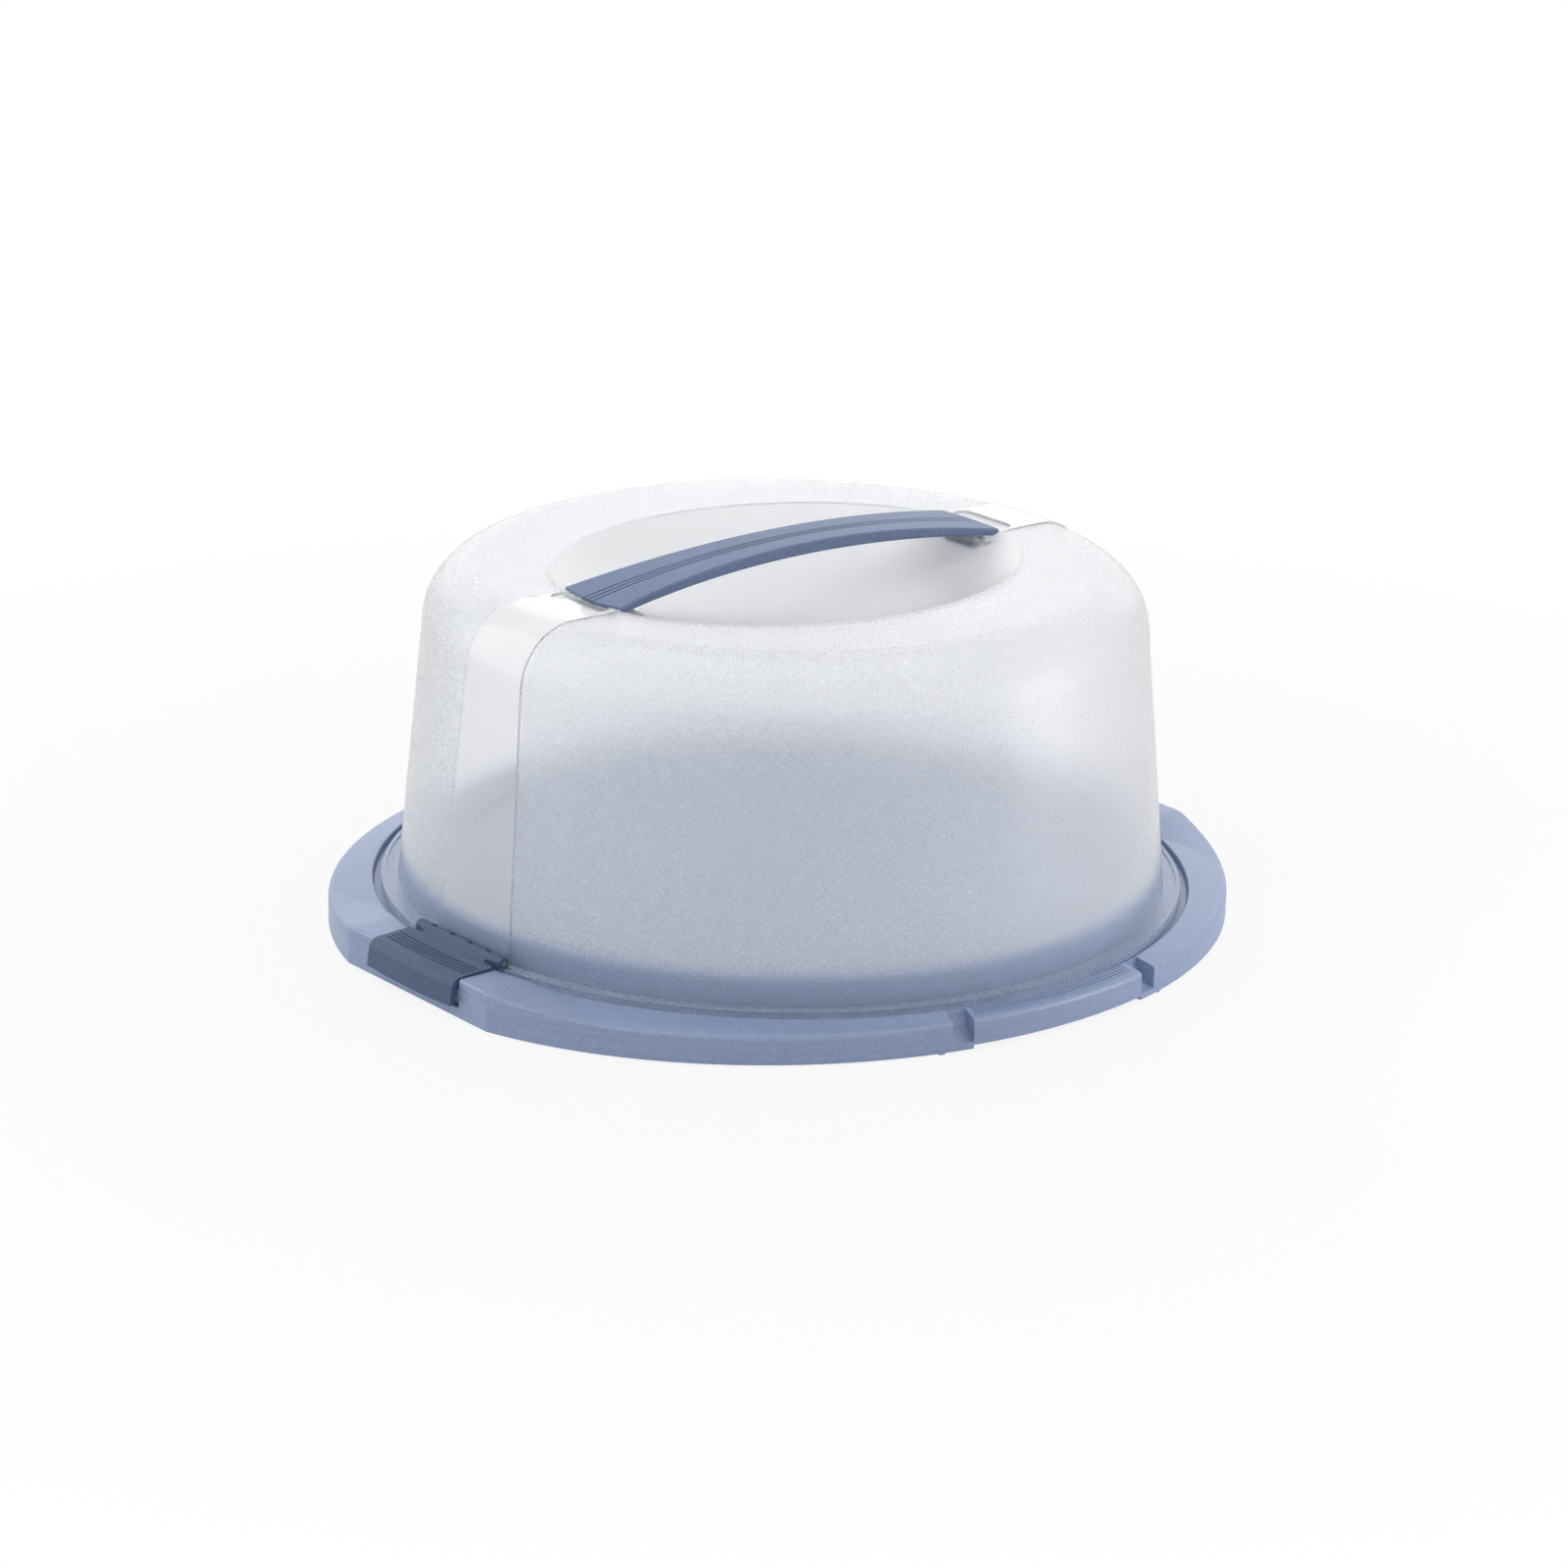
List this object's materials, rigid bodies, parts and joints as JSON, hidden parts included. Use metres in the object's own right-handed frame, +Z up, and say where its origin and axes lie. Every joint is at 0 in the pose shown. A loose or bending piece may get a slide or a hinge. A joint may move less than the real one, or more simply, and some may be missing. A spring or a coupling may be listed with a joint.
{
  "type": "cake carrier",
  "caption": "Cake carrier: low oval plate with gripped rim, round lift-off translucent hood held by two swing clips, arched carrying handle over a sunk dish.",
  "frame": {"origin": "bottom centre of the carrier, on the surface that its feet stand on, at the centre of the oval plate", "axes": "+Z up; X runs along the handle, through both clips; Y runs through the two gripped parts of the rim"},
  "size_m": [0.357, 0.333, 0.1492],
  "materials": {
    "plate_blue": "fine matt moulded polypropylene",
    "hood_translucent": "frosted translucent wall with clear polished dish and bands",
    "handle_blue": "satin moulded plastic, dark slate blue",
    "clip_blue": "satin moulded plastic, dark slate blue"
  },
  "bodies": {
    "base": {"plate": "plate_blue"},
    "hood": {"hood": "hood_translucent", "handle": "handle_blue"},
    "clip_left": {"clip_left": "clip_blue"},
    "clip_right": {"clip_right": "clip_blue"}
  },
  "joints": [
    {"name": "hood_lift", "type": "slide", "parent": "base", "child": "hood", "axis": [0, 0, 1], "range_m": [0, 0.165]},
    {"name": "clip_right_swing", "type": "hinge", "parent": "hood", "child": "clip_right", "pos_m": [0.1526, 0, 0.0168], "axis": [0, -1, 0], "range_deg": [0, 95]},
    {"name": "clip_left_swing", "type": "hinge", "parent": "hood", "child": "clip_left", "pos_m": [-0.1526, 0, 0.0168], "axis": [0, 1, 0], "range_deg": [0, 95]}
  ]
}
